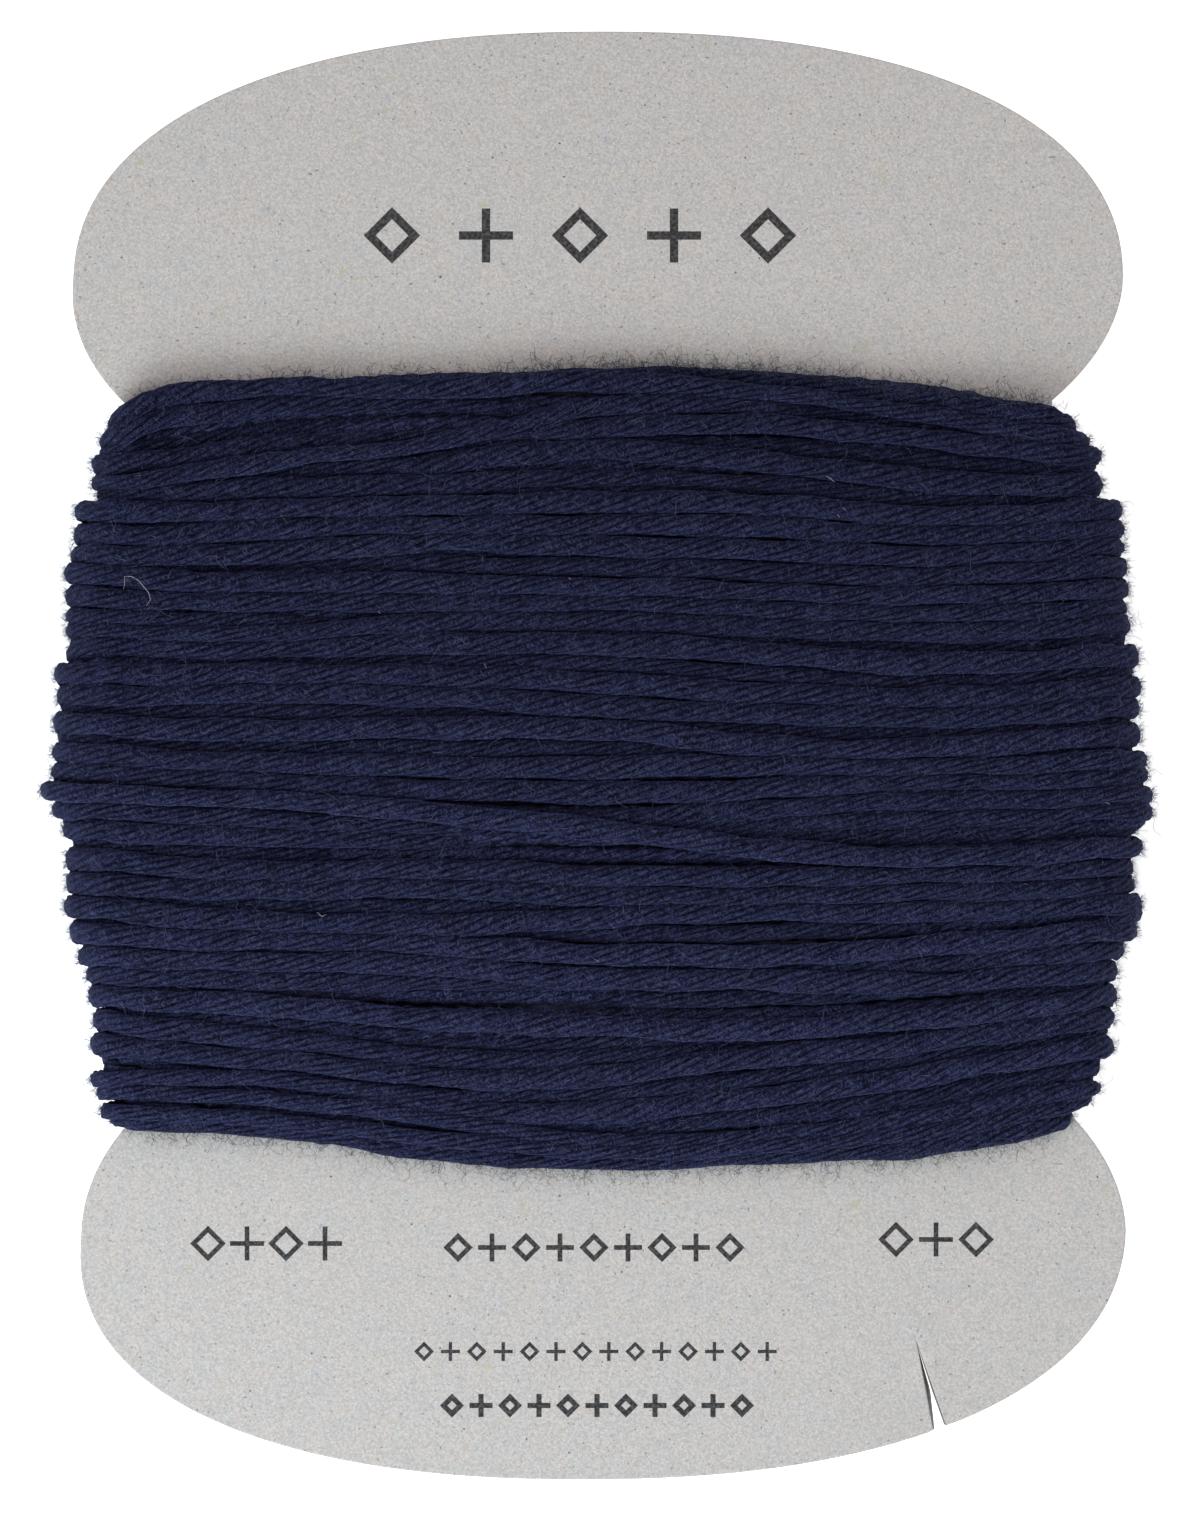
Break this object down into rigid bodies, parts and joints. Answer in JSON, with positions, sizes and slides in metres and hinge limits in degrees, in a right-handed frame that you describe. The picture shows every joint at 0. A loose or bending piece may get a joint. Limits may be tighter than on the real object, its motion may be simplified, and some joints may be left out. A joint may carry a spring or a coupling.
{
  "type": "card of sashiko thread",
  "caption": "Flat die-cut cardboard card with two wide rounded lobes and soft cotton embroidery thread wound in close turns round its waist.",
  "frame": {"origin": "on the surface that the card lies on, under the middle of the part", "axes": "+Z out of the card's printed face, +Y along the card to its top lobe, +X to the right as seen from the face"},
  "size_m": [0.0554, 0.0724, 0.0069],
  "materials": {
    "board": "matt recycled grey board with fine fibres and small printed marks",
    "cotton": "soft matt navy cotton thread of eight loosely twisted strands"
  },
  "bodies": {
    "root": {"card": "board", "winding": "cotton"}
  },
  "joints": []
}
